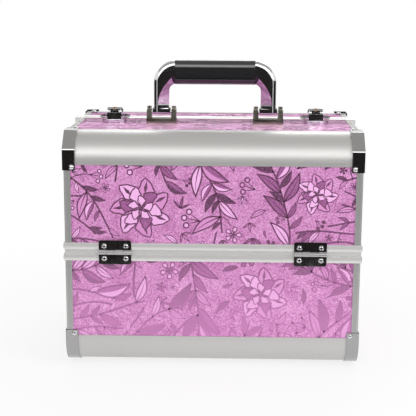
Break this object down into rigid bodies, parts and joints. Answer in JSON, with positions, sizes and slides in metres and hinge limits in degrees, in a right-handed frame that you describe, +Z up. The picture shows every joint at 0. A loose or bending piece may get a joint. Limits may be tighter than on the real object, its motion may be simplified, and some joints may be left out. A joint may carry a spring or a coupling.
{
  "type": "makeup train case",
  "caption": "Upright box-shaped cosmetics case with rounded metal edges, two half-lids that open like wings, swing-out trays inside and a folding carry handle on top.",
  "frame": {"origin": "on the ground, under the middle of the closed case", "axes": "+X to the right along the width, the front faces -Y, +Z up"},
  "size_m": [0.323, 0.2422, 0.3335],
  "materials": {
    "foil_panel": "glittering lilac-pink foil laminate on board, with a leaf and blossom relief",
    "aluminium_frame": "satin anodised extrusion",
    "chrome_hardware": "bright chrome plate on pressed steel and die casting",
    "brass_plug": "turned, bare",
    "black_grip": "gloss moulded",
    "black_tray": "fine-grained moulded",
    "lining": "short-pile lining on thin foam",
    "steel_links": "zinc-plated strip",
    "rubber_feet": "matte moulded"
  },
  "bodies": {
    "base": {"base_front_panel": "foil_panel", "base_back_panel": "foil_panel", "base_side_panels": "foil_panel", "base_floor_panel": "foil_panel", "base_lining": "lining", "base_rim": "aluminium_frame", "base_edges": "aluminium_frame", "base_corner_angles": "aluminium_frame", "base_corner_caps": "chrome_hardware", "base_hinge_leaves": "chrome_hardware", "hinge_pins": "chrome_hardware", "feet": "rubber_feet", "base_screws_and_rivets": "chrome_hardware", "arm_pivot_studs": "steel_links"},
    "front_lid": {"front_lid_front_panel": "foil_panel", "front_lid_top_panel": "foil_panel", "front_lid_side_panels": "foil_panel", "front_lid_lining": "lining", "front_lid_rim": "aluminium_frame", "front_lid_edge": "aluminium_frame", "front_lid_corner_angles": "aluminium_frame", "front_lid_corner_caps": "chrome_hardware", "front_lid_hinge_leaves": "chrome_hardware", "front_lid_screws_and_rivets": "chrome_hardware", "handle_brackets": "chrome_hardware", "handle_pins": "chrome_hardware", "latch_housings": "chrome_hardware"},
    "back_lid": {"back_lid_back_panel": "foil_panel", "back_lid_top_panel": "foil_panel", "back_lid_side_panels": "foil_panel", "back_lid_lining": "lining", "back_lid_rim": "aluminium_frame", "back_lid_edge": "aluminium_frame", "back_lid_corner_angles": "aluminium_frame", "back_lid_corner_caps": "chrome_hardware", "back_lid_hinge_leaves": "chrome_hardware", "back_lid_screws_and_rivets": "chrome_hardware", "latch_keepers": "chrome_hardware"},
    "front_outer_arms": {"front_outer_arms": "steel_links"},
    "front_inner_arms": {"front_inner_arms": "steel_links"},
    "front_lower_tray": {"front_lower_tray": "black_tray", "front_lower_dividers": "black_tray"},
    "front_upper_tray": {"front_upper_tray": "black_tray", "front_upper_dividers": "black_tray"},
    "front_lid_stays": {"front_lid_stays": "steel_links"},
    "back_outer_arms": {"back_outer_arms": "steel_links"},
    "back_inner_arms": {"back_inner_arms": "steel_links"},
    "back_lower_tray": {"back_lower_tray": "black_tray", "back_lower_dividers": "black_tray"},
    "back_upper_tray": {"back_upper_tray": "black_tray", "back_upper_dividers": "black_tray"},
    "back_lid_stays": {"back_lid_stays": "steel_links"},
    "handle": {"handle_bow": "chrome_hardware", "handle_grip": "black_grip"},
    "left_latch": {"left_latch_lever": "chrome_hardware"},
    "left_plug": {"left_lock_plug": "brass_plug"},
    "right_latch": {"right_latch_lever": "chrome_hardware"},
    "right_plug": {"right_lock_plug": "brass_plug"}
  },
  "joints": [
    {"name": "front_lid_hinge", "type": "hinge", "parent": "base", "child": "front_lid", "pos_m": [0, -0.1188, 0.133], "axis": [1, 0, 0], "range_deg": [0, 100]},
    {"name": "front_outer_arm_swing", "type": "hinge", "parent": "base", "child": "front_outer_arms", "pos_m": [0, -0.08897, 0.1185], "axis": [1, 0, 0], "range_deg": [0, 76]},
    {"name": "front_inner_arm_swing", "type": "hinge", "parent": "base", "child": "front_inner_arms", "pos_m": [0, -0.06897, 0.1185], "axis": [1, 0, 0], "range_deg": [0, 76]},
    {"name": "front_lower_tray_swing", "type": "hinge", "parent": "front_outer_arms", "child": "front_lower_tray", "pos_m": [0, -0.05571, 0.166], "axis": [1, 0, 0], "range_deg": [-76, 0]},
    {"name": "front_upper_tray_swing", "type": "hinge", "parent": "front_outer_arms", "child": "front_upper_tray", "pos_m": [0, -0.0285, 0.20486], "axis": [1, 0, 0], "range_deg": [-76, 0]},
    {"name": "front_lid_stay_swing", "type": "hinge", "parent": "front_lid", "child": "front_lid_stays", "pos_m": [0, -0.0997, 0.1509], "axis": [1, 0, 0], "range_deg": [-35.04, 0]},
    {"name": "back_lid_hinge", "type": "hinge", "parent": "base", "child": "back_lid", "pos_m": [0, 0.1188, 0.133], "axis": [-1, 0, 0], "range_deg": [0, 100]},
    {"name": "back_outer_arm_swing", "type": "hinge", "parent": "base", "child": "back_outer_arms", "pos_m": [0, 0.08897, 0.1185], "axis": [-1, 0, 0], "range_deg": [0, 76]},
    {"name": "back_inner_arm_swing", "type": "hinge", "parent": "base", "child": "back_inner_arms", "pos_m": [0, 0.06897, 0.1185], "axis": [-1, 0, 0], "range_deg": [0, 76]},
    {"name": "back_lower_tray_swing", "type": "hinge", "parent": "back_outer_arms", "child": "back_lower_tray", "pos_m": [0, 0.05571, 0.166], "axis": [-1, 0, 0], "range_deg": [-76, 0]},
    {"name": "back_upper_tray_swing", "type": "hinge", "parent": "back_outer_arms", "child": "back_upper_tray", "pos_m": [0, 0.0285, 0.20486], "axis": [-1, 0, 0], "range_deg": [-76, 0]},
    {"name": "back_lid_stay_swing", "type": "hinge", "parent": "back_lid", "child": "back_lid_stays", "pos_m": [0, 0.0997, 0.1509], "axis": [-1, 0, 0], "range_deg": [-35.04, 0]},
    {"name": "handle_fold", "type": "hinge", "parent": "front_lid", "child": "handle", "pos_m": [0, -0.0171, 0.2745], "axis": [1, 0, 0], "range_deg": [0, 90]},
    {"name": "left_latch_lift", "type": "hinge", "parent": "front_lid", "child": "left_latch", "pos_m": [-0.116, -0.0064, 0.2728], "axis": [1, 0, 0], "range_deg": [0, 90]},
    {"name": "left_plug_turn", "type": "hinge", "parent": "left_latch", "child": "left_plug", "pos_m": [-0.116, -0.0044, 0.277], "axis": [0, 0, 1], "range_deg": [0, 90]},
    {"name": "right_latch_lift", "type": "hinge", "parent": "front_lid", "child": "right_latch", "pos_m": [0.116, -0.0064, 0.2728], "axis": [1, 0, 0], "range_deg": [0, 90]},
    {"name": "right_plug_turn", "type": "hinge", "parent": "right_latch", "child": "right_plug", "pos_m": [0.116, -0.0044, 0.277], "axis": [0, 0, 1], "range_deg": [0, 90]}
  ],
  "couplings": [
    {"joint": "front_lower_tray_swing", "follows": "front_lid_hinge", "ratio": -0.76},
    {"joint": "front_upper_tray_swing", "follows": "front_lid_hinge", "ratio": -0.76},
    {"joint": "front_lid_stay_swing", "follows": "front_lid_hinge", "ratio": -0.35036},
    {"joint": "front_outer_arm_swing", "follows": "front_lid_hinge", "ratio": 0.76},
    {"joint": "front_inner_arm_swing", "follows": "front_lid_hinge", "ratio": 0.76},
    {"joint": "back_lower_tray_swing", "follows": "back_lid_hinge", "ratio": -0.76},
    {"joint": "back_upper_tray_swing", "follows": "back_lid_hinge", "ratio": -0.76},
    {"joint": "back_lid_stay_swing", "follows": "back_lid_hinge", "ratio": -0.35036},
    {"joint": "back_outer_arm_swing", "follows": "back_lid_hinge", "ratio": 0.76},
    {"joint": "back_inner_arm_swing", "follows": "back_lid_hinge", "ratio": 0.76}
  ]
}
